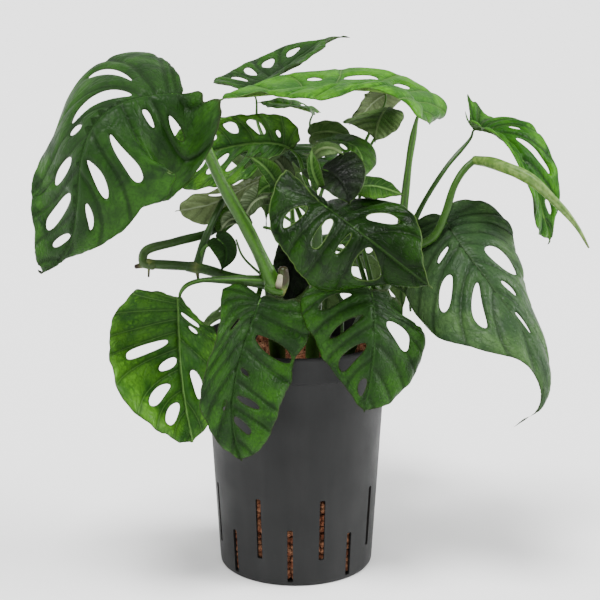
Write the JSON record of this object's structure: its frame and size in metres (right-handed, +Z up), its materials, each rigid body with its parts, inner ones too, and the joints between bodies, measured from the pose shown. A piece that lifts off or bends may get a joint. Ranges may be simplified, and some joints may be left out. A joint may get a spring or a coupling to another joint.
{
  "type": "monstera adansonii plant in pot",
  "caption": "Potted monstera adansonii: holed, drooping heart-shaped leaves on arching stalks, growing from clay granules in a slotted culture pot.",
  "frame": {"origin": "middle of the flat underside of the pot, on the surface it stands on", "axes": "+Z up, -Y towards the side the plant is seen from, +X to the right of that side"},
  "size_m": [0.4121, 0.3352, 0.4171],
  "materials": {
    "pot": "dark grey moulded plastic, matte with a faint sheen",
    "clay": "rough fired clay granules, reddish brown and porous",
    "stem": "smooth fresh green stems and leaf stalks, with brown aerial roots",
    "leaf_dark": "dark green leaf tissue, satin, lighter veins and margin",
    "leaf_mid": "mid green leaf tissue, satin, lighter veins and margin",
    "leaf_bright": "bright green leaf tissue, satin",
    "leaf_silver": "pale grey-green underside of a leaf, matte",
    "leaf_young": "pale yellow-green leaf still rolled up, satin"
  },
  "bodies": {
    "root": {"pot": "pot", "clay_granules": "clay", "stem_left": "stem", "stem_centre": "stem", "stem_right": "stem", "stem_back": "stem", "leaf_left_large": "leaf_dark", "leaf_top": "leaf_dark", "leaf_top_bright": "leaf_bright", "leaf_back_thin": "leaf_bright", "leaf_back_left": "leaf_dark", "leaf_left_silver": "leaf_silver", "leaf_centre": "leaf_dark", "leaf_front_right": "leaf_dark", "leaf_front_left": "leaf_mid", "leaf_front_middle": "leaf_dark", "leaf_right_large": "leaf_mid", "leaf_right_bright": "leaf_bright", "leaf_upper_right": "leaf_bright", "leaf_upper_pale": "leaf_silver", "leaf_curled": "leaf_dark", "leaf_upper_dark": "leaf_dark", "leaf_inner_curl": "leaf_silver", "leaf_inner_left": "leaf_mid", "leaf_inner_dark": "leaf_dark", "leaf_inner_light": "leaf_mid", "leaf_inner_young": "leaf_mid", "leaf_inner_pale": "leaf_silver", "leaf_inner_low": "leaf_dark", "leaf_left_small": "leaf_dark", "leaf_back_middle": "leaf_dark", "leaf_back_low_left": "leaf_mid", "leaf_back_low_right": "leaf_dark", "leaf_back_high": "leaf_dark", "leaf_rolled": "leaf_young"}
  },
  "joints": []
}
